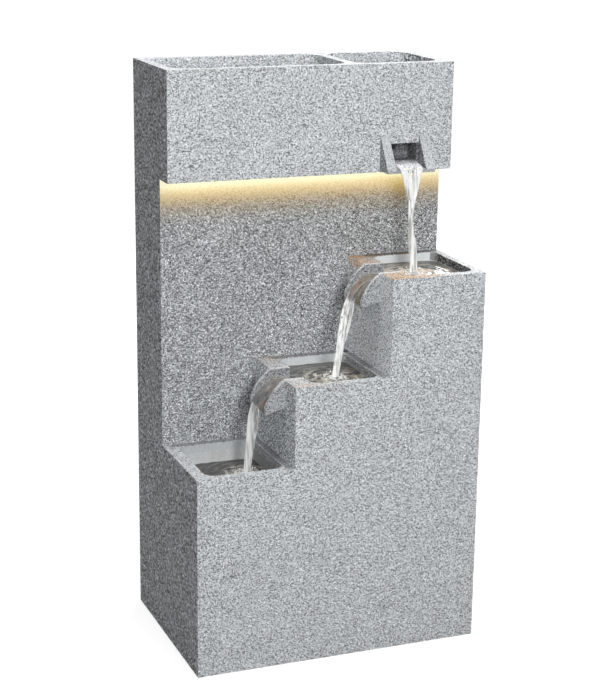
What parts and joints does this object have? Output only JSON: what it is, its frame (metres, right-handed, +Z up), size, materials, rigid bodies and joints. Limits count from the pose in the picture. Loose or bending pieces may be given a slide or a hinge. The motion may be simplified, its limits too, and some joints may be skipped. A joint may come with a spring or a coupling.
{
  "type": "garden fountain",
  "caption": "Free-standing stepped cascade fountain with a planter box and a lit overhang on top, a spout, and basins that spill down a stair of weirs.",
  "frame": {"origin": "on the ground, under the middle of the bounding box", "axes": "+Z up, -Y towards the front that the steps face, +X towards the tallest step"},
  "size_m": [0.5, 0.335, 0.975],
  "materials": {
    "granite": "matt cast surface with a fine dark and white granite speckle",
    "basin_grey": "smooth matt grey moulding, stained by standing water",
    "black_plastic": "fine matt black moulding",
    "dial_green": "satin green moulding",
    "white_plastic": "smooth white moulding",
    "black_rubber": "soft matt black rubber",
    "stainless": "plain rolled stainless steel",
    "ferrite": "dull dark grey ferrite",
    "channel_aluminium": "satin extruded aluminium",
    "light_strip": "warm white light chips on a pale strip",
    "diffuser": "frosted white, lit from behind",
    "water": "clear moving water"
  },
  "bodies": {
    "fountain": {"tower_shell": "granite", "stepped_casing": "granite", "planter_box": "granite", "base_board": "black_plastic", "upper_basin": "basin_grey", "middle_basin": "basin_grey", "lower_basin": "basin_grey", "upper_weir": "granite", "middle_weir": "granite", "top_spout": "granite", "spout_inlet": "granite", "reservoir_tub": "black_plastic", "overflow_pipe": "basin_grey", "overflow_nut": "black_plastic", "pump_body": "black_plastic", "impeller_cover": "basin_grey", "impeller_shaft": "stainless", "shaft_bushes": "black_rubber", "pump_outlet": "basin_grey", "pump_feet": "black_rubber", "riser_hose": "black_rubber", "hose_clamps": "stainless", "hose_clips": "black_plastic", "pump_lead": "black_rubber", "light_lead": "black_rubber", "lead_clips": "white_plastic", "cable_grommet": "black_rubber", "light_channel": "channel_aluminium", "light_strip": "light_strip", "light_diffuser": "diffuser", "channel_end_caps": "basin_grey", "door_frame": "black_plastic", "door_gasket": "black_rubber", "hinge_pins": "stainless", "door_magnet": "ferrite", "drain_bush": "basin_grey", "drain_nut": "black_plastic", "joint_brackets": "stainless", "tie_plates": "stainless", "fixing_screws": "stainless", "upper_pool": "water", "middle_pool": "water", "lower_pool": "water", "top_fall": "water", "upper_fall": "water", "lower_fall": "water"},
    "impeller": {"impeller": "white_plastic"},
    "intake_cover": {"intake_strainer": "black_plastic"},
    "flow_dial": {"flow_dial": "dial_green"},
    "rear_door": {"access_door": "black_plastic", "door_strike": "stainless"},
    "drain_plug": {"drain_plug": "black_rubber", "plug_seal": "black_rubber"},
    "basin_strainer": {"basin_strainer": "black_plastic"},
    "large_planter_plug": {"large_planter_plug": "black_rubber"},
    "small_planter_plug": {"small_planter_plug": "black_rubber"}
  },
  "joints": [
    {"name": "impeller_spin", "type": "hinge", "parent": "fountain", "child": "impeller", "pos_m": [0.162, 0.108, 0.053], "axis": [1, 0, 0], "continuous": true},
    {"name": "intake_pull", "type": "slide", "parent": "fountain", "child": "intake_cover", "axis": [-1, 0, 0], "range_m": [0, 0.05]},
    {"name": "flow_dial_turn", "type": "hinge", "parent": "intake_cover", "child": "flow_dial", "pos_m": [0.12, 0.108, 0.053], "axis": [1, 0, 0], "range_deg": [0, 90]},
    {"name": "rear_door_hinge", "type": "hinge", "parent": "fountain", "child": "rear_door", "pos_m": [-0.106, 0.1645, 0.322], "axis": [0, 0, 1], "range_deg": [0, 90]},
    {"name": "drain_plug_pull", "type": "slide", "parent": "fountain", "child": "drain_plug", "axis": [0, 1, 0], "range_m": [0, 0.03]},
    {"name": "strainer_lift", "type": "slide", "parent": "fountain", "child": "basin_strainer", "axis": [0, 0, 1], "range_m": [0, 0.05]},
    {"name": "large_plug_lift", "type": "slide", "parent": "fountain", "child": "large_planter_plug", "axis": [0, 0, 1], "range_m": [0, 0.03]},
    {"name": "small_plug_lift", "type": "slide", "parent": "fountain", "child": "small_planter_plug", "axis": [0, 0, 1], "range_m": [0, 0.03]}
  ]
}
